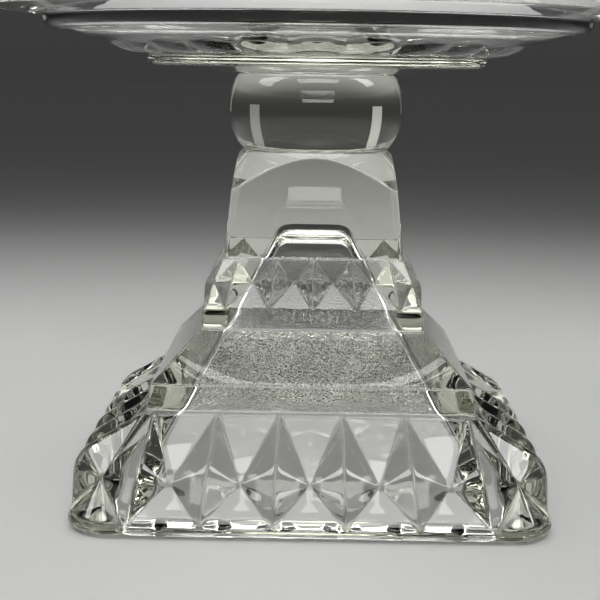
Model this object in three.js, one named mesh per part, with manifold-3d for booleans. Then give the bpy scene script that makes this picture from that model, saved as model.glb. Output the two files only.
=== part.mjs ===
// Pedestal candy dish in clear pressed glass: a round bowl on a knop on a hollow square pedestal.
// Millimetres, +Z up. The origin is the middle of the square that the foot stands on.
import * as THREE from 'three';
import { mergeVertices } from 'three/addons/utils/BufferGeometryUtils.js';
import Module from 'manifold-3d';

// Foot rim: the plain band round the bottom of the pedestal
const FOOT_WIDTH = 102;
const FOOT_CORNER_RADIUS = 9;
const FOOT_RIM_HEIGHT = 2.8;
const FOOT_EDGE_ROUND = 1.8;

// Lower lozenge tier, from the rim up to the plinth. Insets are from the end of a side to the nearest point.
const LOWER_COUNT = 6;
const LOWER_HEIGHT = 20.2;
const LOWER_WAIST_DROP = 12.5;
const LOWER_WAIST_PROUD = 2;
const LOWER_SHOULDER_DROP = 9.5;
const LOWER_SHOULDER_ROUND = 4.4;
const LOWER_TOP_INSET = 1.9;
const LOWER_WAIST_INSET = 3.3;
const LOWER_BOTTOM_INSET = 13.4;

// Plinth band and the plain sloped panels above it
const PLINTH_WIDTH = 70.4;
const PLINTH_HEIGHT = 5.4;
const PLINTH_DRAFT = 0.7;
const SLOPE_HEIGHT = 10.6;

// Collar: a plain band with the upper lozenge tier on it
const COLLAR_WIDTH = 48.8;
const COLLAR_HEIGHT = 4.4;
const COLLAR_DRAFT = 0.2;
const UPPER_COUNT = 5;
const UPPER_HEIGHT = 10.6;
const UPPER_WAIST_DROP = 5.1;
const UPPER_WAIST_PROUD = 0.4;
const UPPER_SHOULDER_DROP = 5.4;
const UPPER_SHOULDER_ROUND = 2;
const UPPER_TOP_INSET = 3.4;
const UPPER_WAIST_INSET = 0.6;
const UPPER_BOTTOM_INSET = 5;

// Stem: a tapered square post whose top is turned to a cone, so that each face ends in an arch
const STEM_WIDTH = 39.8;
const STEM_HEIGHT = 23;
const STEM_TAPER = 2.4;
const STEM_EDGE_RADIUS = 1.2;
const STEM_LEDGE = 0.1;
const SHOULDER_SLOPE = 1.1;

// Hollow pressed into the pedestal from below
const HOLLOW_RIM_WIDTH = 11.1;
const HOLLOW_TOP_WIDTH = 15.4;
const HOLLOW_EDGE_RADIUS = 2.5;
const HOLLOW_TOP_ROUND = 2;
const HOLLOW_ROOF = 18;

// Knop
const KNOP_RADIUS = 20.15;
const KNOP_FOOT_RADIUS = 16.7;
const KNOP_TOP_RADIUS = 18;
const KNOP_WAIST_HEIGHT = 8.9;
const KNOP_HEIGHT = 17.3;

// Underside of the bowl, ring by ring outwards: a shallow disc, lobes, a wide step and a plain apron.
// An edge is the height of the rounded riser at the end of its ring.
const DISC_RADIUS = 38.7;
const DISC_RISE = 1.5;
const DISC_EDGE = 2.4;
const LOBE_COUNT = 24;
const LOBE_LENGTH = 8.6;
const LOBE_RISE = 2.6;
const LOBE_EDGE = 1.7;
const LOBE_NOTCH = 1.6;
const STEP_WIDTH = 14.7;
const STEP_RISE = 2.7;
const STEP_EDGE = 2.9;
const APRON_WIDTH = 12;
const APRON_RISE = 1.5;

// Wall of the bowl: a lozenge band, a plain rim band and a rounded lip. A flare is how far it leans out.
const WALL_COUNT = 24;
const WALL_FOOT_FLARE = 2.5;
const WALL_FOOT_RISE = 3.6;
const WALL_FLARE = 7.5;
const WALL_HEIGHT = 19.5;
const WALL_WAIST_DROP = 10;
const WALL_WAIST_SUNK = 0.6;
const WALL_SHOULDER_DROP = 10.5;
const WALL_SHOULDER_ROUND = 4;
const RIM_FLARE = 3.5;
const RIM_HEIGHT = 11;
const LIP_WIDTH = 4.5;

// Inside of the bowl
const BOWL_FLOOR = 7.7;
const BOWL_WALL = 5;
const INSIDE_FLAT_RADIUS = 24;
const INSIDE_FLOOR_REACH = 30;
const INSIDE_WALL_REACH = 14;

// Fineness of the facets and how far a cutter or a buried end runs past the face that it meets
const ROUND_STEPS = 3;
const CORNER_STEPS = 4;
const GAP_STEPS = 4;
const CIRCLE_STEPS = WALL_COUNT * GAP_STEPS;
const SWEEP_STEPS = 8;
const KNOP_TURN_STEPS = 64;
const OVERRUN = 2;

// Levels, stacked from the foot upwards
const LOWER_TOP_Z = FOOT_RIM_HEIGHT + LOWER_HEIGHT;
const PLINTH_TOP_Z = LOWER_TOP_Z + PLINTH_HEIGHT;
const COLLAR_Z = PLINTH_TOP_Z + SLOPE_HEIGHT;
const UPPER_Z = COLLAR_Z + COLLAR_HEIGHT;
const STEM_Z = UPPER_Z + UPPER_HEIGHT;
const STEM_TOP_Z = STEM_Z + STEM_HEIGHT;
const SEAT_Z = STEM_TOP_Z + KNOP_HEIGHT;
const DISC_Z = SEAT_Z + DISC_RISE;
const LOBE_Z = DISC_Z + DISC_EDGE;
const LOBE_TOP_Z = LOBE_Z + LOBE_RISE;
const STEP_Z = LOBE_TOP_Z + STEP_RISE;
const APRON_Z = STEP_Z + STEP_EDGE + APRON_RISE;
const WALL_Z = APRON_Z + WALL_FOOT_RISE;
const WALL_TOP_Z = WALL_Z + WALL_HEIGHT;
const RIM_Z = WALL_TOP_Z + RIM_HEIGHT;

// Radii of the bowl, ring by ring outwards
const LOBE_RADIUS = DISC_RADIUS + LOBE_LENGTH;
const STEP_RADIUS = LOBE_RADIUS + STEP_WIDTH;
const APRON_RADIUS = STEP_RADIUS + APRON_WIDTH;
const WALL_RADIUS = APRON_RADIUS + WALL_FOOT_FLARE;
const WALL_TOP_RADIUS = WALL_RADIUS + WALL_FLARE;
const RIM_RADIUS = WALL_TOP_RADIUS + RIM_FLARE;
const WALL_WAIST_Z = WALL_TOP_Z - WALL_WAIST_DROP;
const WALL_WAIST_RADIUS = WALL_TOP_RADIUS - (WALL_FLARE * WALL_WAIST_DROP) / WALL_HEIGHT - WALL_WAIST_SUNK;

const GLASS_TINT = 0xdfe4da;
const KNOP_TINT = 0xe2e4d2;

const wasm = await Module();
wasm.setup();

/** Gathers outward-facing triangles into one closed surface. Rings run anticlockwise seen from above. */
class Skin {
  corners = [];

  face(a, b, c) {
    this.corners.push(a, b, c);
  }

  wall(lower, upper) {
    lower.forEach((start, i) => {
      const next = (i + 1) % lower.length;
      this.face(start, lower[next], upper[next]);
      this.face(start, upper[next], upper[i]);
    });
  }

  stack(rings) {
    rings.slice(1).forEach((ring, i) => this.wall(rings[i], ring));
  }

  cap(ring, facesUp) {
    const middle = new THREE.Vector3(0, 0, ring[0].z);
    ring.forEach((start, i) => {
      const end = ring[(i + 1) % ring.length];
      this.face(middle, facesUp ? start : end, facesUp ? end : start);
    });
  }

  solid() {
    return toSolid(new THREE.BufferGeometry().setFromPoints(this.corners));
  }
}

function toSolid(geometry) {
  const merged = mergeVertices(geometry);
  const mesh = new wasm.Mesh({
    numProp: 3,
    vertProperties: merged.attributes.position.array,
    triVerts: new Uint32Array(merged.index.array),
  });
  return new wasm.Manifold(mesh);
}

function toGeometry(solid) {
  const mesh = solid.getMesh();
  const geometry = new THREE.BufferGeometry();
  geometry.setAttribute('position', new THREE.BufferAttribute(mesh.vertProperties, mesh.numProp));
  geometry.setIndex(new THREE.BufferAttribute(mesh.triVerts, 1));
  geometry.computeVertexNormals();
  return geometry;
}

/** A solid through a stack of rings, closed by flat ends. */
function loft(rings) {
  const skin = new Skin();
  skin.stack(rings);
  skin.cap(rings[0], false);
  skin.cap(rings.at(-1), true);
  return skin.solid();
}

function circleRing(radius, z) {
  return Array.from({ length: CIRCLE_STEPS }, (_, i) => {
    const angle = (i / CIRCLE_STEPS) * 2 * Math.PI;
    return new THREE.Vector3(radius * Math.cos(angle), radius * Math.sin(angle), z);
  });
}

/** A point on one side of a square: out from the axis, along the side, at a height. */
function onSide(side, out, along, z) {
  return new THREE.Vector3(out, along, z).applyAxisAngle(new THREE.Vector3(0, 0, 1), (side * Math.PI) / 2);
}

/** The corner at the end of a side, as points in order round the square. A sharp corner is one point. */
function cornerArc(side, half, radius, z) {
  if (radius === 0) return [onSide(side, half, half, z)];
  return Array.from({ length: CORNER_STEPS + 1 }, (_, i) => {
    const angle = (i / CORNER_STEPS) * (Math.PI / 2);
    const middle = half - radius;
    return onSide(side, middle + radius * Math.cos(angle), middle + radius * Math.sin(angle), z);
  });
}

function squareRing(half, radius, z) {
  return [0, 1, 2, 3].flatMap((side) => cornerArc(side, half, radius, z));
}

/** A copy of a ring drawn in or out by a ratio, at another height. */
function resized(ring, ratio, z) {
  return ring.map((point) => new THREE.Vector3(point.x * ratio, point.y * ratio, z));
}

/** The section of a ridge: straight from the top edge, round over the shoulder, straight to the bottom. */
function ridgeSection(top, shoulder, bottom, round) {
  const toward = (end) => end.clone().sub(shoulder).setLength(round).add(shoulder);
  const start = toward(top);
  const end = toward(bottom);
  return new THREE.Path()
    .moveTo(top.x, top.y)
    .lineTo(start.x, start.y)
    .quadraticCurveTo(shoulder.x, shoulder.y, end.x, end.y)
    .lineTo(bottom.x, bottom.y)
    .getPoints(ROUND_STEPS);
}

/**
 * Lays touching lozenges round a ring. A crest is the ridge of one lozenge, from its top point to its bottom
 * point. A waist is the side point that it shares with the next lozenge. A gap holds the edge points between
 * its end and the next one's. Returns the two edges as rings.
 */
function layLozenges(skin, lozenges) {
  const top = [];
  const bottom = [];
  lozenges.forEach(({ crest, waist, topGap, bottomGap }, i) => {
    const next = lozenges[(i + 1) % lozenges.length];
    const before = lozenges.at(i - 1).waist;
    const topEdge = [crest[0], ...topGap, next.crest[0]];
    const bottomEdge = [crest.at(-1), ...bottomGap, next.crest.at(-1)];
    crest.slice(1).forEach((lower, k) => {
      skin.face(crest[k], lower, waist);
      skin.face(lower, crest[k], before);
    });
    topEdge.slice(1).forEach((end, k) => skin.face(waist, end, topEdge[k]));
    bottomEdge.slice(1).forEach((end, k) => skin.face(waist, bottomEdge[k], end));
    top.push(...topEdge.slice(0, -1));
    bottom.push(...bottomEdge.slice(0, -1));
  });
  return { top, bottom };
}

/** The lozenges of a square tier, side after side. Each corner of the square is a waist. */
function squareLozenges(tier) {
  const { count, topHalf, topZ, bottomHalf, bottomZ, waistZ, cornerRadius } = tier;
  const chord = THREE.MathUtils.mapLinear(waistZ, topZ, bottomZ, topHalf, bottomHalf);
  const waistHalf = chord + tier.waistProud;
  const topEnd = topHalf - tier.topInset;
  const bottomEnd = bottomHalf - tier.bottomInset;
  const waistEnd = waistHalf - tier.waistInset;
  const section = ridgeSection(
    new THREE.Vector2(topHalf, topZ),
    new THREE.Vector2(bottomHalf, tier.shoulderZ),
    new THREE.Vector2(bottomHalf, bottomZ),
    tier.shoulderRound,
  );
  return [0, 1, 2, 3].flatMap((side) => Array.from({ length: count }, (_, i) => {
    const place = (2 * i) / (count - 1) - 1;
    const atCorner = i === count - 1;
    const crest = section.map(({ x, y }) => {
      const end = THREE.MathUtils.mapLinear(y, topZ, bottomZ, topEnd, bottomEnd);
      return onSide(side, x, place * end, y);
    });
    const waistAlong = waistEnd * ((2 * (i + 1)) / count - 1);
    return {
      crest,
      waist: onSide(side, atCorner ? waistEnd : waistHalf, waistAlong, waistZ),
      topGap: atCorner ? [onSide(side, topHalf, topHalf, topZ)] : [],
      bottomGap: atCorner ? cornerArc(side, bottomHalf, cornerRadius, bottomZ) : [],
    };
  }));
}

/** Foot rim, lower lozenge tier, plinth band and sloped panels. */
function buildFoot() {
  const footHalf = FOOT_WIDTH / 2;
  const plinthHalf = PLINTH_WIDTH / 2;
  const skin = new Skin();
  const { top, bottom } = layLozenges(skin, squareLozenges({
    count: LOWER_COUNT,
    topHalf: plinthHalf,
    topZ: LOWER_TOP_Z,
    bottomHalf: footHalf,
    bottomZ: FOOT_RIM_HEIGHT,
    cornerRadius: FOOT_CORNER_RADIUS,
    waistZ: LOWER_TOP_Z - LOWER_WAIST_DROP,
    waistProud: LOWER_WAIST_PROUD,
    shoulderZ: LOWER_TOP_Z - LOWER_SHOULDER_DROP,
    shoulderRound: LOWER_SHOULDER_ROUND,
    topInset: LOWER_TOP_INSET,
    waistInset: LOWER_WAIST_INSET,
    bottomInset: LOWER_BOTTOM_INSET,
  }));
  const rim = Array.from({ length: ROUND_STEPS + 1 }, (_, i) => {
    const angle = (i / ROUND_STEPS) * (Math.PI / 2);
    const inset = FOOT_EDGE_ROUND * (1 - Math.sin(angle));
    return resized(bottom, (footHalf - inset) / footHalf, FOOT_EDGE_ROUND * (1 - Math.cos(angle)));
  });
  const plinthTop = resized(top, (plinthHalf - PLINTH_DRAFT) / plinthHalf, PLINTH_TOP_Z);
  const slopeTop = resized(top, COLLAR_WIDTH / PLINTH_WIDTH, COLLAR_Z);
  skin.cap(rim[0], false);
  skin.stack([...rim, bottom]);
  skin.stack([top, plinthTop, slopeTop]);
  skin.cap(slopeTop, true);
  return skin.solid();
}

/** Plain collar band with the upper lozenge tier. Its lower end is buried in the sloped panels. */
function buildCollar() {
  const collarHalf = COLLAR_WIDTH / 2;
  const bandHalf = collarHalf - COLLAR_DRAFT;
  const skin = new Skin();
  const { top, bottom } = layLozenges(skin, squareLozenges({
    count: UPPER_COUNT,
    topHalf: STEM_WIDTH / 2 + STEM_LEDGE,
    topZ: STEM_Z,
    bottomHalf: bandHalf,
    bottomZ: UPPER_Z,
    cornerRadius: 0,
    waistZ: STEM_Z - UPPER_WAIST_DROP,
    waistProud: UPPER_WAIST_PROUD,
    shoulderZ: STEM_Z - UPPER_SHOULDER_DROP,
    shoulderRound: UPPER_SHOULDER_ROUND,
    topInset: UPPER_TOP_INSET,
    waistInset: UPPER_WAIST_INSET,
    bottomInset: UPPER_BOTTOM_INSET,
  }));
  const foot = resized(bottom, collarHalf / bandHalf, COLLAR_Z);
  const root = resized(bottom, (collarHalf - OVERRUN) / bandHalf, COLLAR_Z - OVERRUN);
  skin.cap(root, false);
  skin.stack([root, foot, bottom]);
  skin.cap(top, true);
  return skin.solid();
}

/** Tapered square post cut to a cone at its top, with a round seat for the knop. */
function buildStem() {
  const half = (z) => (STEM_WIDTH - (STEM_TAPER * (z - STEM_Z) * 2) / STEM_HEIGHT) / 2;
  const low = STEM_Z - OVERRUN;
  const high = STEM_TOP_Z + OVERRUN;
  const post = loft([low, high].map((z) => squareRing(half(z), STEM_EDGE_RADIUS, z)));
  const drop = STEM_TOP_Z - low;
  const cone = loft([
    circleRing(KNOP_FOOT_RADIUS + SHOULDER_SLOPE * drop, low - OVERRUN),
    circleRing(KNOP_FOOT_RADIUS + SHOULDER_SLOPE * drop, low),
    circleRing(KNOP_FOOT_RADIUS, STEM_TOP_Z),
  ]);
  return post.intersect(cone);
}

/** The pressed hollow: a truncated square pyramid with rounded edges, open at the bottom. */
function buildHollow() {
  const topHalf = HOLLOW_TOP_WIDTH / 2;
  const mouthHalf = FOOT_WIDTH / 2 - HOLLOW_RIM_WIDTH;
  const topZ = STEM_TOP_Z - HOLLOW_ROOF;
  const half = (z) => THREE.MathUtils.mapLinear(z, 0, topZ, mouthHalf, topHalf);
  const rounding = Array.from({ length: ROUND_STEPS + 1 }, (_, i) => {
    const angle = (i / ROUND_STEPS) * (Math.PI / 2);
    const z = topZ - HOLLOW_TOP_ROUND * (1 - Math.sin(angle));
    return squareRing(half(z) - HOLLOW_TOP_ROUND * (1 - Math.cos(angle)), HOLLOW_EDGE_RADIUS, z);
  });
  return loft([squareRing(half(-OVERRUN), HOLLOW_EDGE_RADIUS, -OVERRUN), ...rounding]);
}

function buildPedestal() {
  return toGeometry(buildFoot().add(buildCollar()).add(buildStem()).subtract(buildHollow()));
}

/** Flattened ball with a flat seat at each end, turned from one profile. */
function buildKnop() {
  const waistZ = STEM_TOP_Z + KNOP_WAIST_HEIGHT;
  const profile = new THREE.Path()
    .moveTo(0, STEM_TOP_Z)
    .lineTo(KNOP_FOOT_RADIUS, STEM_TOP_Z)
    .quadraticCurveTo(KNOP_RADIUS, (STEM_TOP_Z + waistZ) / 2, KNOP_RADIUS, waistZ)
    .quadraticCurveTo(KNOP_RADIUS, (waistZ + SEAT_Z) / 2, KNOP_TOP_RADIUS, SEAT_Z)
    .lineTo(0, SEAT_Z);
  return new THREE.LatheGeometry(profile.getPoints(SWEEP_STEPS), KNOP_TURN_STEPS).rotateX(Math.PI / 2);
}

/** Rings of the bowl's underside, from the seat on the knop out to the foot of the wall. */
function undersideRings() {
  const disc = new THREE.Path()
    .moveTo(KNOP_TOP_RADIUS, SEAT_Z)
    .lineTo(DISC_RADIUS - DISC_EDGE / 2, DISC_Z)
    .quadraticCurveTo(DISC_RADIUS, DISC_Z, DISC_RADIUS, LOBE_Z);
  const step = new THREE.Path()
    .moveTo(LOBE_RADIUS, LOBE_TOP_Z)
    .lineTo(STEP_RADIUS - STEP_EDGE, STEP_Z)
    .quadraticCurveTo(STEP_RADIUS, STEP_Z, STEP_RADIUS, STEP_Z + STEP_EDGE)
    .lineTo(APRON_RADIUS, APRON_Z);
  const rings = (path) => path.getPoints(ROUND_STEPS).map(({ x, y }) => circleRing(x, y));
  return [...rings(disc), ...lobeRings(), ...rings(step)];
}

/** Rings across the lobes: full on the middle of a lobe, drawn in and up at the notch beside it. */
function lobeRings() {
  const section = new THREE.Path()
    .moveTo(DISC_RADIUS, LOBE_Z)
    .quadraticCurveTo(LOBE_RADIUS, LOBE_Z, LOBE_RADIUS, LOBE_TOP_Z - LOBE_EDGE / 2)
    .getPoints(ROUND_STEPS)
    .slice(1);
  return section.map(({ x, y }) => circleRing(1, 0).map((point) => {
    const angle = Math.atan2(point.y, point.x);
    const notch = 1 - Math.abs(Math.cos((angle * LOBE_COUNT) / 2));
    const share = (x - DISC_RADIUS) / LOBE_LENGTH;
    const radius = x - LOBE_NOTCH * share * notch;
    const rise = Math.min(LOBE_EDGE, LOBE_TOP_Z - y) * notch * share;
    return new THREE.Vector3(point.x * radius, point.y * radius, y + rise / 2);
  }));
}

/** The lozenges of the bowl's wall, one after another round the circle. */
function wallLozenges() {
  const section = ridgeSection(
    new THREE.Vector2(WALL_TOP_RADIUS, WALL_TOP_Z),
    new THREE.Vector2(WALL_TOP_RADIUS, WALL_TOP_Z - WALL_SHOULDER_DROP),
    new THREE.Vector2(WALL_RADIUS, WALL_Z),
    WALL_SHOULDER_ROUND,
  );
  const pitch = (2 * Math.PI) / WALL_COUNT;
  const at = (radius, turn, z) => new THREE.Vector3(
    radius * Math.cos(turn * pitch), radius * Math.sin(turn * pitch), z,
  );
  const gap = (i, radius, z) => Array.from(
    { length: GAP_STEPS - 1 }, (_, k) => at(radius, i + (k + 1) / GAP_STEPS, z),
  );
  return Array.from({ length: WALL_COUNT }, (_, i) => ({
    crest: section.map(({ x, y }) => at(x, i, y)),
    waist: at(WALL_WAIST_RADIUS, i + 0.5, WALL_WAIST_Z),
    topGap: gap(i, WALL_TOP_RADIUS, WALL_TOP_Z),
    bottomGap: gap(i, WALL_RADIUS, WALL_Z),
  }));
}

/** The outside of the bowl as a filled solid. */
function buildBowlOutside() {
  const skin = new Skin();
  const { top, bottom } = layLozenges(skin, wallLozenges());
  const underside = undersideRings();
  const lip = LIP_WIDTH / 2;
  const rim = new THREE.Path()
    .moveTo(RIM_RADIUS, RIM_Z - lip)
    .quadraticCurveTo(RIM_RADIUS, RIM_Z, RIM_RADIUS - lip, RIM_Z)
    .getPoints(ROUND_STEPS)
    .map(({ x, y }) => resized(top, x / WALL_TOP_RADIUS, y));
  skin.cap(underside[0], false);
  skin.stack([...underside, bottom]);
  skin.stack([top, ...rim]);
  skin.cap(rim.at(-1), true);
  return skin.solid();
}

/** The inside of the bowl as a cutter: flat floor, one sweep up into the wall, rounded inner lip. */
function buildBowlInside() {
  const floorZ = SEAT_Z + BOWL_FLOOR;
  const waist = WALL_WAIST_RADIUS - BOWL_WALL;
  const top = WALL_TOP_RADIUS - BOWL_WALL;
  const lip = LIP_WIDTH / 2;
  const mouth = RIM_RADIUS - LIP_WIDTH;
  const rise = new THREE.Vector2(top - waist, WALL_WAIST_DROP).setLength(INSIDE_WALL_REACH);
  const rings = new THREE.Path()
    .moveTo(INSIDE_FLAT_RADIUS, floorZ)
    .bezierCurveTo(
      INSIDE_FLAT_RADIUS + INSIDE_FLOOR_REACH, floorZ,
      waist - rise.x, WALL_WAIST_Z - rise.y,
      waist, WALL_WAIST_Z,
    )
    .lineTo(top, WALL_TOP_Z)
    .lineTo(mouth, RIM_Z - lip)
    .quadraticCurveTo(mouth, RIM_Z, mouth + lip, RIM_Z)
    .lineTo(mouth + lip, RIM_Z + OVERRUN)
    .getPoints(SWEEP_STEPS)
    .map(({ x, y }) => circleRing(x, y));
  return loft(rings);
}

function buildBowl() {
  return toGeometry(buildBowlOutside().subtract(buildBowlInside()));
}

function glass(color) {
  const look = { color, roughness: 0.04, metalness: 0, transparent: true, opacity: 0.35 };
  return new THREE.MeshStandardMaterial(look);
}

function piece(name, geometry, color) {
  const mesh = new THREE.Mesh(geometry, glass(color));
  mesh.name = name;
  return mesh;
}

const dish = new THREE.Group();
dish.add(
  piece('pedestal', buildPedestal(), GLASS_TINT),
  piece('knop', buildKnop(), KNOP_TINT),
  piece('bowl', buildBowl(), GLASS_TINT),
);

export default dish;
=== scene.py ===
"""Looks of the pedestal candy dish: three pieces of clear pressed glass on a pale studio floor."""
import math

import bmesh
import bpy
from mathutils import Matrix, Vector
from mathutils.geometry import interpolate_bezier


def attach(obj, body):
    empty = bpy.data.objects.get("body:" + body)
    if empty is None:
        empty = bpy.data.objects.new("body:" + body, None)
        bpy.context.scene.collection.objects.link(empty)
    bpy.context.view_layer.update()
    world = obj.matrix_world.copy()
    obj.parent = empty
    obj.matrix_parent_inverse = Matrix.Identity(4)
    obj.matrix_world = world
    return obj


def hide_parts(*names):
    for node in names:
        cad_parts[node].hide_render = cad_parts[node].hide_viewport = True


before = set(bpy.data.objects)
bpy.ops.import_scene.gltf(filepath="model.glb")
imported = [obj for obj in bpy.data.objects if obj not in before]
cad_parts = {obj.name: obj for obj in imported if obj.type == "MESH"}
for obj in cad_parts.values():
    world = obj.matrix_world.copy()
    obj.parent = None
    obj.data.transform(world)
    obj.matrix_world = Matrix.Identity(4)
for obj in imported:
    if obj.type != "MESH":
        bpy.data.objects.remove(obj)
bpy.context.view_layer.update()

MM = 0.001

# Foot, in millimetres as all sizes of the glass: a plain rim below the lower lozenge tier
FOOT_HALF = 51.0
FOOT_CORNER_RADIUS = 9.0
FOOT_RIM_Z = 2.8
FOOT_EDGE_ROUND = 1.8
SIDES = 4

# Lower lozenge tier. Insets are from the end of a side to the nearest point of a lozenge.
LOWER_COUNT = 6
LOWER_TOP_Z = 23.0
LOWER_WAIST_Z = 10.5
LOWER_WAIST_PROUD = 2.0
LOWER_SHOULDER_Z = 13.5
LOWER_SHOULDER_ROUND = 4.4
LOWER_TOP_INSET = 1.9
LOWER_WAIST_INSET = 3.3
LOWER_BOTTOM_INSET = 13.4

# Plinth band and sloped panels
PLINTH_HALF = 35.2
PLINTH_TOP_HALF = 34.5
PLINTH_TOP_Z = 28.4

# Collar band with the upper lozenge tier
COLLAR_HALF = 24.4
COLLAR_Z = 39.0
UPPER_COUNT = 5
UPPER_HALF = 24.2
UPPER_TOP_HALF = 20.0
UPPER_Z = 43.4
UPPER_WAIST_Z = 48.9
UPPER_WAIST_PROUD = 0.4
UPPER_SHOULDER_Z = 48.6
UPPER_SHOULDER_ROUND = 2.0
UPPER_TOP_INSET = 3.4
UPPER_WAIST_INSET = 0.6
UPPER_BOTTOM_INSET = 5.0

# Stem: a tapered square post cut by a cone, so that each face ends in an arch
STEM_HALF = 19.9
STEM_Z = 54.0
STEM_TOP_Z = 77.0
STEM_TAPER = 2.4
STEM_EDGE_RADIUS = 1.2
CONE_SLOPE = 1.1

# Hollow pressed into the pedestal from below
HOLLOW_MOUTH_HALF = 39.9
HOLLOW_TOP_HALF = 7.7
HOLLOW_TOP_Z = 59.0
HOLLOW_EDGE_RADIUS = 1.4
HOLLOW_TOP_ROUND = 2.0

# Stippling inside the hollow: full about its middle height, and a trace of it below and above
STIPPLE_LOW_Z = 21.0
STIPPLE_MIDDLE_Z = 30.0
STIPPLE_HIGH_Z = 53.0
STIPPLE_REACH = 9.0
STIPPLE_FADE = 6.0
STIPPLE_TRACE = 0.2

# Knop
KNOP_RADIUS = 20.15
KNOP_FOOT_RADIUS = 16.7
KNOP_TOP_RADIUS = 18.0
KNOP_WAIST_Z = 85.9
SEAT_Z = 94.3

# Underside of the bowl: disc, lobes, step and apron
DISC_RADIUS = 38.7
DISC_Z = 95.8
LOBE_COUNT = 24
LOBE_RADIUS = 47.3
LOBE_Z = 98.2
LOBE_TOP_Z = 100.8
LOBE_EDGE = 1.7
LOBE_NOTCH = 1.6
LOBE_TIP = 0.3
LOBE_SLOPE_WIDTH = 3.1
STEP_RADIUS = 62.0
STEP_Z = 103.5
STEP_EDGE = 2.9
APRON_RADIUS = 74.0
APRON_Z = 107.9

# Wall and inside of the bowl
WALL_RADIUS = 76.5
WALL_Z = 111.5
WALL_TOP_RADIUS = 84.0
WALL_TOP_Z = 131.0
WALL_WAIST_RADIUS = 79.55
WALL_WAIST_Z = 121.0
WALL_SHOULDER_Z = 120.5
WALL_SHOULDER_ROUND = 4.0
RIM_RADIUS = 87.5
RIM_Z = 142.0
LIP_WIDTH = 4.5
BOWL_FLOOR_Z = 102.0
BOWL_WALL = 5.0
INSIDE_FLAT_RADIUS = 24.0
INSIDE_FLOOR_REACH = 30.0
INSIDE_WALL_REACH = 14.0

# Fineness: the width of a row of faces, and the columns between the lozenges' points and round a turn
ROW_WIDTH = 1.2
HOLLOW_ROW_WIDTH = 2.4
FAN_ROWS = 8
FAN_EDGE_SHARE = 0.07
EDGE_WIDTH = 0.3
CORNER_STEPS = 8
FOOT_EDGE_STEPS = 5
HOLLOW_TOP_STEPS = 6
LOWER_GAP_STEPS = 12
UPPER_GAP_STEPS = 15
SECTOR_STEPS = 14
BEND_STEPS = 8
SWEEP_STEPS = 48
KNOP_TURN_STEPS = 160
SOFTEN_ROUNDS = 2
SOFTEN_SHARE = 0.5
WELD_DISTANCE = 0.002
SLIVER_LENGTH = 0.001

# The two fused joints are left apart by a hair, and are see-through inside this margin
JOINT_GAP = 0.03
JOINT_MARGIN = 0.9
JOINT_FLATNESS = 0.01

# Glass: absorption per metre is the density times what each colour lacks of white. Scales are per
# metre and depths in metres.
GLASS_IOR = 1.52
GLASS_ROUGHNESS = 0.01
ABSORPTION_DENSITY = 10.0
CLEAR_ABSORPTION = (0.68, 0.70, 0.50)
KNOP_ABSORPTION = (0.66, 0.66, 0.40)
RIPPLE_SCALE = 90.0
RIPPLE_DEPTH = 0.00003
RIPPLE_DETAIL = 1.0
STIPPLE_SCALE = 2200.0
STIPPLE_DEPTH = 0.0007
STIPPLE_ROUGHNESS = 0.6
WORN_ROUGHNESS = 0.5
RIDGE_WEAR = 0.8
EDGE_WEAR = 0.6

# Studio, in metres and watts. A softbox has a place, a point that it faces, its two sizes and a power.
FLOOR_COLOUR = (0.46, 0.46, 0.455, 1)
FLOOR_ROUGHNESS = 0.9
FLOOR_GLOSS = 0.1
FLOOR_RADIUS = 6.0
FLOOR_STEPS = 96
FLOOR_DROP = 0.0003
WORLD_HORIZON = (0.042, 0.042, 0.042)
WORLD_ZENITH = (0.12, 0.12, 0.12)
SOFTBOXES = (
    ("left softbox", (-0.38, -0.04, 0.52), (0, 0, 0.03), (0.24, 0.34), 0.62),
    ("right softbox", (0.40, -0.02, 0.50), (0, 0, 0.03), (0.16, 0.28), 0.42),
    ("front softbox", (0.02, -0.30, 0.56), (0, 0, 0.05), (0.44, 0.15), 0.42),
    ("low front softbox", (0.02, -0.51, 0.31), (0, 0, 0.03), (0.40, 0.18), 0.42),
    ("back softbox", (0.0, 0.22, 0.58), (0, 0, 0.08), (0.46, 0.26), 0.55),
    ("rear softbox", (0.0, 0.42, 0.46), (0, 0, 0.08), (0.46, 0.26), 0.12),
    ("left edge strip", (-0.36, 0.60, 0.24), (0, 0, 0.08), (0.10, 0.40), 0.02),
    ("right edge strip", (0.36, 0.60, 0.24), (0, 0, 0.08), (0.10, 0.40), 0.01),
)
SOFTBOX_SPREAD = math.radians(105)

# Camera, fitted to the photograph
CAMERA_PLACE = (0.0, -0.3265, 0.0968)
CAMERA_LENS = 84.3
CAMERA_SENSOR = 36
CAMERA_NEAR = 0.01
CAMERA_PITCH = math.radians(9.61)
CAMERA_PAN = math.radians(0.53)
CAMERA_ROLL = math.radians(0.85)


def bend(start, knee, end):
    """A rounded turn from start to end, without its last point."""
    handles = start.lerp(knee, 2 / 3), end.lerp(knee, 2 / 3)
    return interpolate_bezier(start, *handles, end, BEND_STEPS + 1)[:-1]


def run(start, end, steps=0):
    """Even points from start to end, without the last one. A row's width apart where no number is given."""
    steps = steps or math.ceil((end - start).length / ROW_WIDTH)
    return [start.lerp(end, i / steps) for i in range(steps)]


def blank_skin():
    """An empty mesh whose faces can be marked as stippled or as part of a joint, and its points as worn."""
    bm = bmesh.new()
    for name in ("stipple", "joint"):
        bm.faces.layers.float.new(name)
    bm.verts.layers.float.new("worn")
    return bm


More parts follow.
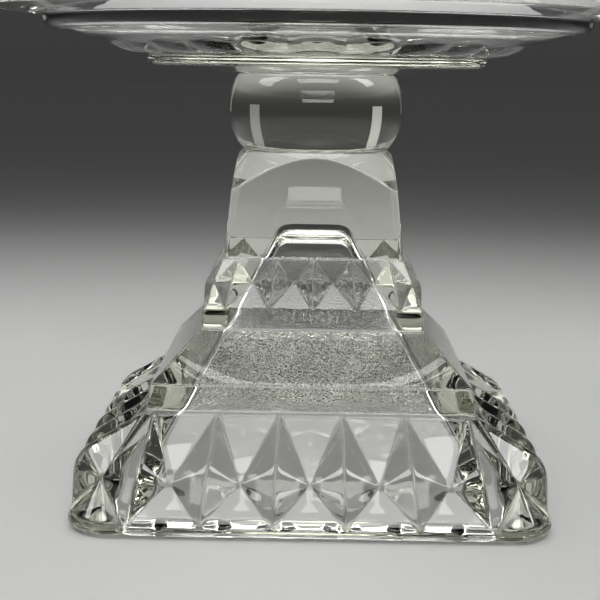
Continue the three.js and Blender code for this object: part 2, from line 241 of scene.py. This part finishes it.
def strip(bm, low, high):
    """Faces between two chains of points: the first chain's edges are drawn out to the second chain."""
    verts = [bm.verts.new(point) for point in low]
    goal = dict(zip(verts, high))
    edges = [bm.edges.new(pair) for pair in zip(verts, verts[1:])]
    drawn = bmesh.ops.extrude_edge_only(bm, edges=edges)["geom"]
    for vert in (item for item in drawn if isinstance(item, bmesh.types.BMVert)):
        start = next(edge.other_vert(vert) for edge in vert.link_edges if edge.other_vert(vert) in goal)
        vert.co = goal[start]
    return [item for item in drawn if isinstance(item, bmesh.types.BMFace)]


def edge_hugging(count, edge):
    """Shares from 0 to 1 in even steps, with one more step close beside each end."""
    return [0, edge, *(i / count for i in range(1, count)), 1 - edge, 1]


def rows_between(low, high, shares):
    """Chains at some shares of the way from one chain to another."""
    return [[a.lerp(b, share) for a, b in zip(low, high)] for share in shares]


def skin(bm, chains, row_width=ROW_WIDTH):
    """Faces through a list of chains, in rows of an even width."""
    faces = []
    for low, high in zip(chains, chains[1:]):
        length = max((b - a).length for a, b in zip(low, high))
        count = math.ceil(length / row_width)
        edge = EDGE_WIDTH / length
        shares = edge_hugging(count, edge) if count > 2 else [i / count for i in range(count + 1)]
        rows = rows_between(low, high, shares)
        faces += [face for pair in zip(rows, rows[1:]) for face in strip(bm, *pair)]
    return faces


def on_axis(chain, z):
    """The chain drawn together on the axis."""
    return [Vector((0, 0, z))] * len(chain)


def fan(bm, chain, tip):
    """Faces from a chain to one point. Gives back the points along its two sides."""
    shares = [0, FAN_EDGE_SHARE, *((i + 1) / FAN_ROWS for i in range(FAN_ROWS))]
    rows = rows_between(chain, [tip] * len(chain), shares)
    for pair in zip(rows, rows[1:]):
        strip(bm, *pair)
    return [point for row in rows for point in (row[0], row[-1])]


def lozenge_band(bm, crests, waists, edges, first, gap):
    """Touching lozenges. A crest is the ridge of one, and a waist the side point that it shares with the
    next. The edges are the chains below and above. Crests meet every gap-th point, from the first on."""
    outlines = []
    for i, crest in enumerate(crests):
        outlines += [*fan(bm, crest, waists[i]), *fan(bm, crest, waists[i + 1])]
    for chain in edges:
        stops = [0, *(first + gap * i for i in range(len(crests))), len(chain) - 1]
        for waist, start, end in zip(waists, stops, stops[1:]):
            fan(bm, chain[start:end + 1], waist)
    wear(bm, [point for crest in crests for point in crest], RIDGE_WEAR)
    wear(bm, outlines, EDGE_WEAR)


def ridge(top, shoulder, bottom, rounding):
    """The section of a ridge, as distance and height: straight, round over the shoulder, straight."""
    start = shoulder + (top - shoulder).normalized() * rounding
    end = shoulder + (bottom - shoulder).normalized() * rounding
    return [*beside(top, start), *bend(start, shoulder, end), *reversed(beside(bottom, end))]


def beside(edge, end):
    """Points from an edge towards an end, without the end and with one close beside the edge."""
    first, *rest = run(edge, end)
    return [first, edge + (end - edge).normalized() * EDGE_WIDTH, *rest]


def side_chain(half, z, corner_radius, stops, gap):
    """Points along one side of a square, from corner to corner, with even gaps between the stops."""
    if corner_radius:
        middle = half - corner_radius
        angles = [math.pi / 4 * (1 - i / CORNER_STEPS) for i in range(CORNER_STEPS)]
        corner = [
            Vector((middle + corner_radius * math.cos(angle), middle + corner_radius * math.sin(angle), z))
            for angle in angles
        ]
    else:
        corner = run(Vector((half, half, z)), Vector((half, stops[0], z)), CORNER_STEPS)
    places = [Vector((half, -place, z)) for place in stops]
    shares = edge_hugging(gap - 2, FAN_EDGE_SHARE)[:-1]
    straight = [a.lerp(b, share) for a, b in zip(places, places[1:]) for share in shares]
    start = [Vector((point.x, -point.y, z)) for point in corner]
    return [*start, *straight, places[-1], *reversed(corner)]


def stops_along(end, count):
    """Even places from one end of a row of lozenges to the other."""
    return [end * (1 - 2 * i / (count - 1)) for i in range(count)]


def lower_chain(half, z, corner_radius, inset):
    return side_chain(half, z, corner_radius, stops_along(half - inset, LOWER_COUNT), LOWER_GAP_STEPS)


def upper_chain(half, z, corner_radius, inset):
    return side_chain(half, z, corner_radius, stops_along(half - inset, UPPER_COUNT), UPPER_GAP_STEPS)


def side_waists(count, half, inset, z):
    """Side points of the lozenges along one side. The two at the ends lie on the square's corners."""
    end = half - inset
    inner = [Vector((half, end * (2 * i / count - 1), z)) for i in range(1, count)]
    return [Vector((end, -end, z)), *inner, Vector((end, end, z))]


def side_crests(section, low, high, first, gap, count):
    """Ridges on one side, each from a point of the high chain down to one of the low chain."""
    crests = []
    for i in range(count):
        bottom, top = low[first + gap * i], high[first + gap * i]
        shares = [(top.z - z) / (top.z - bottom.z) for _, z in section]
        crests.append([
            Vector((out, top.y + (bottom.y - top.y) * share, z))
            for share, (out, z) in zip(shares, section)
        ])
    return crests


def lower_tier(bm, low, high):
    section = ridge(
        Vector((PLINTH_HALF, LOWER_TOP_Z)), Vector((FOOT_HALF, LOWER_SHOULDER_Z)),
        Vector((FOOT_HALF, FOOT_RIM_Z)), LOWER_SHOULDER_ROUND,
    )
    share = (LOWER_TOP_Z - LOWER_WAIST_Z) / (LOWER_TOP_Z - FOOT_RIM_Z)
    half = PLINTH_HALF + (FOOT_HALF - PLINTH_HALF) * share + LOWER_WAIST_PROUD
    waists = side_waists(LOWER_COUNT, half, LOWER_WAIST_INSET, LOWER_WAIST_Z)
    crests = side_crests(section, low, high, CORNER_STEPS, LOWER_GAP_STEPS, LOWER_COUNT)
    lozenge_band(bm, crests, waists, (low, high), CORNER_STEPS, LOWER_GAP_STEPS)


def upper_tier(bm, low, high):
    section = ridge(
        Vector((UPPER_TOP_HALF, STEM_Z)), Vector((UPPER_HALF, UPPER_SHOULDER_Z)),
        Vector((UPPER_HALF, UPPER_Z)), UPPER_SHOULDER_ROUND,
    )
    share = (STEM_Z - UPPER_WAIST_Z) / (STEM_Z - UPPER_Z)
    half = UPPER_TOP_HALF + (UPPER_HALF - UPPER_TOP_HALF) * share + UPPER_WAIST_PROUD
    waists = side_waists(UPPER_COUNT, half, UPPER_WAIST_INSET, UPPER_WAIST_Z)
    crests = side_crests(section, low, high, CORNER_STEPS, UPPER_GAP_STEPS, UPPER_COUNT)
    lozenge_band(bm, crests, waists, (low, high), CORNER_STEPS, UPPER_GAP_STEPS)


def stem_chains():
    """Foot of the stem, the arch where the cone cuts the post, and the round seat, on one side."""
    foot = upper_chain(STEM_HALF, STEM_Z, STEM_EDGE_RADIUS, STEM_EDGE_RADIUS)
    slope = STEM_TAPER / (STEM_TOP_Z - STEM_Z)
    arch, seat = [], []
    for point in foot:
        out = point.xy
        reach = out.length
        lean = reach * slope / STEM_HALF
        z = (KNOP_FOOT_RADIUS + CONE_SLOPE * STEM_TOP_Z - reach - lean * STEM_Z) / (CONE_SLOPE - lean)
        radius = KNOP_FOOT_RADIUS + CONE_SLOPE * (STEM_TOP_Z - z)
        arch.append((out.normalized() * radius).to_3d() + Vector((0, 0, z)))
        seat.append((out.normalized() * KNOP_FOOT_RADIUS).to_3d() + Vector((0, 0, STEM_TOP_Z - JOINT_GAP)))
    return foot, arch, seat


def quarter_turn(steps):
    """Angles of a quarter turn in even steps."""
    return [math.pi / 2 * i / steps for i in range(steps + 1)]


def hollow_chains():
    """Inside of the hollow on one side, from the middle of its roof down to its mouth."""
    def ring(half, z):
        return lower_chain(half, z, HOLLOW_EDGE_RADIUS, HOLLOW_EDGE_RADIUS)

    slope = (HOLLOW_MOUTH_HALF - HOLLOW_TOP_HALF) / HOLLOW_TOP_Z
    rounding = []
    for turn in quarter_turn(HOLLOW_TOP_STEPS):
        z = HOLLOW_TOP_Z - HOLLOW_TOP_ROUND * (1 - math.cos(turn))
        rounding.append(ring(HOLLOW_MOUTH_HALF - slope * z - HOLLOW_TOP_ROUND * (1 - math.sin(turn)), z))
    mouth = ring(HOLLOW_MOUTH_HALF, 0)
    return [on_axis(mouth, HOLLOW_TOP_Z), *rounding, mouth]


def foot_rim_chains():
    """The rim of the foot on one side, from its underside round the bottom edge to the lozenges."""
    top = lower_chain(FOOT_HALF, FOOT_RIM_Z, FOOT_CORNER_RADIUS, LOWER_BOTTOM_INSET)
    chains = []
    for turn in quarter_turn(FOOT_EDGE_STEPS):
        ratio = 1 - FOOT_EDGE_ROUND * (1 - math.sin(turn)) / FOOT_HALF
        z = FOOT_EDGE_ROUND * (1 - math.cos(turn))
        chains.append([Vector((point.x * ratio, point.y * ratio, z)) for point in top])
    return [*chains, top]


def place_key(point):
    """A point's place to a thousandth of a millimetre."""
    return tuple(round(part, 3) for part in point)


def wear(bm, points, amount):
    """Marks the mesh points at these places as worn, unless they are more worn already."""
    worn = bm.verts.layers.float["worn"]
    places = {place_key(point) for point in points}
    for vert in bm.verts:
        if place_key(vert.co) in places:
            vert[worn] = max(vert[worn], amount)


def mark_stipple(bm, faces):
    """Marks how stippled the faces of the hollow are on one side, without its rounded edges."""
    layer = bm.faces.layers.float["stipple"]
    for face in faces:
        place = face.calc_center_median()
        if STIPPLE_LOW_Z < place.z < STIPPLE_HIGH_Z and abs(place.y) < place.x - HOLLOW_EDGE_RADIUS:
            share = (STIPPLE_REACH - abs(place.z - STIPPLE_MIDDLE_Z)) / STIPPLE_FADE
            face[layer] = min(max(share, STIPPLE_TRACE), 1)


def repeat_round(bm, count):
    """Copies what is there round the axis and joins the copies into one closed skin."""
    step = 2 * math.pi / count
    bmesh.ops.spin(
        bm, geom=[*bm.verts, *bm.edges, *bm.faces], cent=(0, 0, 0), axis=(0, 0, 1),
        angle=step * (count - 1), steps=count - 1, use_duplicate=True,
    )
    bmesh.ops.remove_doubles(bm, verts=bm.verts, dist=WELD_DISTANCE)
    bmesh.ops.dissolve_degenerate(bm, dist=SLIVER_LENGTH, edges=bm.edges)
    bmesh.ops.recalc_face_normals(bm, faces=bm.faces)


def fire_polish(bm):
    """Softens every edge a little, as fire-polishing does."""
    for _ in range(SOFTEN_ROUNDS):
        bmesh.ops.smooth_vert(
            bm, verts=bm.verts, factor=SOFTEN_SHARE, use_axis_x=True, use_axis_y=True, use_axis_z=True,
        )


def glass_piece(name, bm, material, node):
    bmesh.ops.scale(bm, vec=(MM, MM, MM), verts=bm.verts)
    mesh = bpy.data.meshes.new(name)
    bm.to_mesh(mesh)
    bm.free()
    mesh.shade_smooth()
    mesh.materials.append(material)
    piece = bpy.data.objects.new(name, mesh)
    bpy.context.collection.objects.link(piece)
    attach(piece, "root")
    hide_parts(node)


def mark_joint(bm, z, radius):
    """Marks the faces of a flat joint, short of its edge."""
    layer = bm.faces.layers.float["joint"]
    inside = radius - JOINT_MARGIN
    for face in bm.faces:
        places = [vert.co for vert in face.verts]
        if all(abs(place.z - z) < JOINT_FLATNESS and place.xy.length < inside for place in places):
            face[layer] = 1.0


def build_pedestal():
    bm = blank_skin()
    hollow = hollow_chains()
    rim = foot_rim_chains()
    tier_top = lower_chain(PLINTH_HALF, LOWER_TOP_Z, 0, LOWER_TOP_INSET)
    plinth_top = lower_chain(PLINTH_TOP_HALF, PLINTH_TOP_Z, 0, LOWER_TOP_INSET)
    collar = upper_chain(COLLAR_HALF, COLLAR_Z, 0, UPPER_BOTTOM_INSET)
    collar_top = upper_chain(UPPER_HALF, UPPER_Z, 0, UPPER_BOTTOM_INSET)
    ledge = upper_chain(UPPER_TOP_HALF, STEM_Z, 0, UPPER_TOP_INSET)
    stem_foot, arch, seat = stem_chains()
    mark_stipple(bm, skin(bm, hollow, HOLLOW_ROW_WIDTH))
    skin(bm, [hollow[-1], *rim])
    lower_tier(bm, rim[-1], tier_top)
    skin(bm, [tier_top, plinth_top, collar, collar_top])
    upper_tier(bm, collar_top, ledge)
    skin(bm, [ledge, stem_foot, arch, seat, on_axis(ledge, STEM_TOP_Z - JOINT_GAP)])
    wear(bm, [*tier_top, *plinth_top, *collar, *arch, *seat], EDGE_WEAR)
    repeat_round(bm, SIDES)
    fire_polish(bm)
    mark_joint(bm, STEM_TOP_Z - JOINT_GAP, KNOP_FOOT_RADIUS)
    return bm


def build_knop():
    """Flattened ball with a flat joint at each end, turned from one profile."""
    low, high = STEM_TOP_Z + JOINT_GAP, SEAT_Z - JOINT_GAP
    foot = Vector((KNOP_FOOT_RADIUS, low))
    waist = Vector((KNOP_RADIUS, KNOP_WAIST_Z))
    top = Vector((KNOP_TOP_RADIUS, high))
    profile = [
        *run(Vector((0, low)), foot),
        *bend(foot, Vector((KNOP_RADIUS, (low + waist.y) / 2)), waist),
        *bend(waist, Vector((KNOP_RADIUS, (high + waist.y) / 2)), top),
        *run(top, Vector((0, high))),
        Vector((0, high)),
    ]
    bm = blank_skin()
    verts = [bm.verts.new((point.x, 0, point.y)) for point in profile]
    edges = [bm.edges.new(pair) for pair in zip(verts, verts[1:])]
    bmesh.ops.spin(
        bm, geom=[*verts, *edges], cent=(0, 0, 0), axis=(0, 0, 1),
        angle=2 * math.pi, steps=KNOP_TURN_STEPS, use_merge=True,
    )
    bmesh.ops.remove_doubles(bm, verts=bm.verts, dist=WELD_DISTANCE)
    bmesh.ops.recalc_face_normals(bm, faces=bm.faces)
    fire_polish(bm)
    mark_joint(bm, low, KNOP_FOOT_RADIUS)
    mark_joint(bm, high, KNOP_TOP_RADIUS)
    return bm


def sector_chain(radius, z):
    """Points of a ring across one lozenge of the bowl, from waist to waist."""
    pitch = 2 * math.pi / LOBE_COUNT
    shares = edge_hugging(SECTOR_STEPS // 2 - 2, FAN_EDGE_SHARE)
    angles = [pitch / 2 * share for share in (*(-share for share in reversed(shares[1:])), *shares)]
    return [Vector((radius * math.cos(angle), radius * math.sin(angle), z)) for angle in angles]


def sector_chains(section):
    return [sector_chain(radius, z) for radius, z in section]


def lobe_chains():
    """One lobe: full in the middle, drawn in and up towards the notch at each side."""
    inner = Vector((DISC_RADIUS, LOBE_Z))
    knee = Vector((LOBE_RADIUS - LOBE_SLOPE_WIDTH, LOBE_Z))
    outer = Vector((LOBE_RADIUS, LOBE_TOP_Z - LOBE_TIP))
    chains = []
    for radius, z in [*bend(inner, knee, outer), outer][1:]:
        share = (radius - DISC_RADIUS) / (LOBE_RADIUS - DISC_RADIUS)
        chain = []
        for point in sector_chain(1, 0):
            notch = 1 - abs(math.cos(math.atan2(point.y, point.x) * LOBE_COUNT / 2))
            reach = radius - LOBE_NOTCH * share * notch
            rise = min(LOBE_EDGE, LOBE_TOP_Z - z) * notch * share / 2
            chain.append(Vector((point.x * reach, point.y * reach, z + rise)))
        chains.append(chain)
    return chains


def underside_chains():
    """Underside of the bowl across one lozenge, from the middle of the joint to the foot of the wall."""
    seat_z = SEAT_Z + JOINT_GAP
    seat = Vector((KNOP_TOP_RADIUS, seat_z))
    disc = Vector((DISC_RADIUS - (LOBE_Z - DISC_Z) / 2, DISC_Z))
    disc_end = Vector((DISC_RADIUS, LOBE_Z))
    cone = Vector((LOBE_RADIUS, LOBE_TOP_Z))
    step = Vector((STEP_RADIUS - STEP_EDGE, STEP_Z))
    step_end = Vector((STEP_RADIUS, STEP_Z + STEP_EDGE))
    apron = Vector((APRON_RADIUS, APRON_Z))
    wall = Vector((WALL_RADIUS, WALL_Z))
    return [
        *sector_chains([Vector((0, seat_z)), seat]),
        *sector_chains([*bend(disc, Vector((DISC_RADIUS, DISC_Z)), disc_end), disc_end]),
        *lobe_chains(),
        sector_chain(*cone),
        *sector_chains(bend(step, Vector((STEP_RADIUS, STEP_Z)), step_end)),
        *sector_chains([step_end, apron, wall]),
    ]


def inside_chains():
    """Rim and inside of the bowl across one lozenge, from its top to the middle of the bowl's floor."""
    lip = LIP_WIDTH / 2
    mouth = RIM_RADIUS - LIP_WIDTH
    wall_top = Vector((WALL_TOP_RADIUS, WALL_TOP_Z))
    rim = Vector((RIM_RADIUS, RIM_Z - lip))
    crown = Vector((RIM_RADIUS - lip, RIM_Z))
    inner = Vector((mouth, RIM_Z - lip))
    top = Vector((WALL_TOP_RADIUS - BOWL_WALL, WALL_TOP_Z))
    waist = Vector((WALL_WAIST_RADIUS - BOWL_WALL, WALL_WAIST_Z))
    floor = Vector((INSIDE_FLAT_RADIUS, BOWL_FLOOR_Z))
    sweep = waist - (top - waist).normalized() * INSIDE_WALL_REACH
    reach = Vector((INSIDE_FLAT_RADIUS + INSIDE_FLOOR_REACH, BOWL_FLOOR_Z))
    return sector_chains([
        wall_top,
        *bend(rim, Vector((RIM_RADIUS, RIM_Z)), crown),
        *bend(crown, Vector((mouth, RIM_Z)), inner),
        inner,
        top,
        *interpolate_bezier(waist, sweep, reach, floor, SWEEP_STEPS),
        Vector((0, BOWL_FLOOR_Z)),
    ])


def wall_lozenge(bm, low, high):
    section = ridge(
        Vector((WALL_TOP_RADIUS, WALL_TOP_Z)), Vector((WALL_TOP_RADIUS, WALL_SHOULDER_Z)),
        Vector((WALL_RADIUS, WALL_Z)), WALL_SHOULDER_ROUND,
    )
    crest = [Vector((radius, 0, z)) for radius, z in section]
    ends = sector_chain(WALL_WAIST_RADIUS, WALL_WAIST_Z)
    lozenge_band(bm, [crest], [ends[0], ends[-1]], (low, high), SECTOR_STEPS // 2, 1)


def build_bowl():
    bm = blank_skin()
    underside = underside_chains()
    inside = inside_chains()
    skin(bm, underside)
    wall_lozenge(bm, underside[-1], inside[0])
    skin(bm, inside)
    repeat_round(bm, LOBE_COUNT)
    fire_polish(bm)
    mark_joint(bm, SEAT_Z + JOINT_GAP, KNOP_TOP_RADIUS)
    return bm


def ripple_group():
    """Slow unevenness that pressed glass has all over."""
    group = bpy.data.node_groups.new("glass ripple", "ShaderNodeTree")
    group.interface.new_socket("Scale", in_out="INPUT", socket_type="NodeSocketFloat")
    group.interface.new_socket("Depth", in_out="INPUT", socket_type="NodeSocketFloat")
    group.interface.new_socket("Height", in_out="OUTPUT", socket_type="NodeSocketFloat")
    nodes, links = group.nodes, group.links
    inlet = nodes.new("NodeGroupInput")
    outlet = nodes.new("NodeGroupOutput")
    place = nodes.new("ShaderNodeTexCoord")
    noise = nodes.new("ShaderNodeTexNoise")
    noise.inputs["Detail"].default_value = RIPPLE_DETAIL
    links.new(place.outputs["Object"], noise.inputs["Vector"])
    links.new(inlet.outputs["Scale"], noise.inputs["Scale"])
    height = math_node(group, "MULTIPLY", noise.outputs["Fac"], inlet.outputs["Depth"])
    links.new(height, outlet.inputs["Height"])
    return group


def math_node(tree, operation, *values):
    """A Math node whose inputs are numbers or the outputs of other nodes."""
    node = tree.nodes.new("ShaderNodeMath")
    node.operation = operation
    for socket, value in zip(node.inputs, values):
        if isinstance(value, bpy.types.NodeSocket):
            tree.links.new(value, socket)
        else:
            socket.default_value = value
    return node.outputs["Value"]


def surface_mask(tree, name):
    node = tree.nodes.new("ShaderNodeAttribute")
    node.attribute_name = name
    return node.outputs["Fac"]


def glass(name, absorption, ripple):
    """Clear glass with a rippled skin, a tint that grows with depth, and see-through joints."""
    material = bpy.data.materials.new(name)
    material.use_nodes = True
    tree = material.node_tree
    shader = tree.nodes["Principled BSDF"]
    shader.inputs["Base Color"].default_value = (1, 1, 1, 1)
    shader.inputs["Roughness"].default_value = GLASS_ROUGHNESS
    shader.inputs["IOR"].default_value = GLASS_IOR
    shader.inputs["Transmission Weight"].default_value = 1.0
    tint = tree.nodes.new("ShaderNodeVolumeAbsorption")
    tint.inputs["Color"].default_value = (*absorption, 1)
    tint.inputs["Density"].default_value = ABSORPTION_DENSITY
    tree.links.new(tint.outputs["Volume"], tree.nodes["Material Output"].inputs["Volume"])
    tree.links.new(math_node(tree, "SUBTRACT", 1.0, surface_mask(tree, "joint")), shader.inputs["Alpha"])
    wave = tree.nodes.new("ShaderNodeGroup")
    wave.node_tree = ripple
    wave.inputs["Scale"].default_value = RIPPLE_SCALE
    wave.inputs["Depth"].default_value = RIPPLE_DEPTH
    bump = tree.nodes.new("ShaderNodeBump")
    bump.inputs["Distance"].default_value = 1.0
    tree.links.new(wave.outputs["Height"], bump.inputs["Height"])
    tree.links.new(bump.outputs["Normal"], shader.inputs["Normal"])
    return material


def add_stipple_and_wear(material):
    """Pebbles of uneven frost on the stippled faces, as the hollow has, and frost where edges are worn."""
    tree = material.node_tree
    shader = tree.nodes["Principled BSDF"]
    bump = shader.inputs["Normal"].links[0].from_node
    wave = bump.inputs["Height"].links[0].from_socket
    mask = surface_mask(tree, "stipple")
    place = tree.nodes.new("ShaderNodeTexCoord")
    pebbles = tree.nodes.new("ShaderNodeTexVoronoi")
    pebbles.inputs["Scale"].default_value = STIPPLE_SCALE
    tree.links.new(place.outputs["Object"], pebbles.inputs["Vector"])
    depth = math_node(tree, "MULTIPLY", mask, STIPPLE_DEPTH)
    tree.links.new(
        math_node(tree, "MULTIPLY_ADD", pebbles.outputs["Distance"], depth, wave), bump.inputs["Height"],
    )
    grains = math_node(tree, "MULTIPLY", mask, pebbles.outputs["Color"])
    frosted = math_node(tree, "MULTIPLY_ADD", surface_mask(tree, "worn"), WORN_ROUGHNESS, GLASS_ROUGHNESS)
    tree.links.new(
        math_node(tree, "MULTIPLY_ADD", grains, STIPPLE_ROUGHNESS, frosted), shader.inputs["Roughness"],
    )


def build_floor():
    material = bpy.data.materials.new("pale floor")
    material.use_nodes = True
    shader = material.node_tree.nodes["Principled BSDF"]
    shader.inputs["Base Color"].default_value = FLOOR_COLOUR
    shader.inputs["Roughness"].default_value = FLOOR_ROUGHNESS
    shader.inputs["Specular IOR Level"].default_value = FLOOR_GLOSS
    bm = bmesh.new()
    bmesh.ops.create_circle(
        bm, cap_ends=True, segments=FLOOR_STEPS, radius=FLOOR_RADIUS,
        matrix=Matrix.Translation((0, 0, -FLOOR_DROP)),
    )
    mesh = bpy.data.meshes.new("floor")
    bm.to_mesh(mesh)
    bm.free()
    mesh.materials.append(material)
    floor = bpy.data.objects.new("floor", mesh)
    bpy.context.collection.objects.link(floor)


def add_softbox(name, place, aim, size, power):
    lamp = bpy.data.lights.new(name, "AREA")
    lamp.shape = "RECTANGLE"
    lamp.size, lamp.size_y = size
    lamp.energy = power
    lamp.spread = SOFTBOX_SPREAD
    softbox = bpy.data.objects.new(name, lamp)
    softbox.location = place
    softbox.visible_camera = False
    softbox.rotation_euler = (Vector(aim) - Vector(place)).to_track_quat("-Z", "Y").to_euler()
    bpy.context.collection.objects.link(softbox)


def light_studio():
    world = bpy.data.worlds.new("studio")
    world.use_nodes = True
    tree = world.node_tree
    place = tree.nodes.new("ShaderNodeTexCoord")
    split = tree.nodes.new("ShaderNodeSeparateXYZ")
    ramp = tree.nodes.new("ShaderNodeValToRGB")
    ramp.color_ramp.elements[0].color = (*WORLD_HORIZON, 1)
    ramp.color_ramp.elements[1].color = (*WORLD_ZENITH, 1)
    tree.links.new(place.outputs["Generated"], split.inputs["Vector"])
    tree.links.new(split.outputs["Z"], ramp.inputs["Fac"])
    tree.links.new(ramp.outputs["Color"], tree.nodes["Background"].inputs["Color"])
    bpy.context.scene.world = world
    for softbox in SOFTBOXES:
        add_softbox(*softbox)
    bpy.context.scene.view_settings.view_transform = "Standard"


def add_camera():
    lens = bpy.data.cameras.new("camera")
    lens.lens = CAMERA_LENS
    lens.sensor_width = CAMERA_SENSOR
    lens.clip_start = CAMERA_NEAR
    camera = bpy.data.objects.new("camera", lens)
    camera.matrix_world = (
        Matrix.Translation(CAMERA_PLACE) @ Matrix.Rotation(CAMERA_PAN, 4, "Z")
        @ Matrix.Rotation(math.pi / 2 - CAMERA_PITCH, 4, "X") @ Matrix.Rotation(CAMERA_ROLL, 4, "Z")
    )
    bpy.context.collection.objects.link(camera)
    bpy.context.scene.camera = camera


ripple = ripple_group()
clear_glass = glass("clear glass", CLEAR_ABSORPTION, ripple)
add_stipple_and_wear(clear_glass)
knop_glass = glass("straw glass", KNOP_ABSORPTION, ripple)
glass_piece("pedestal_glass", build_pedestal(), clear_glass, "pedestal")
glass_piece("knop_ball", build_knop(), knop_glass, "knop")
glass_piece("bowl_glass", build_bowl(), clear_glass, "bowl")
build_floor()
light_studio()
add_camera()
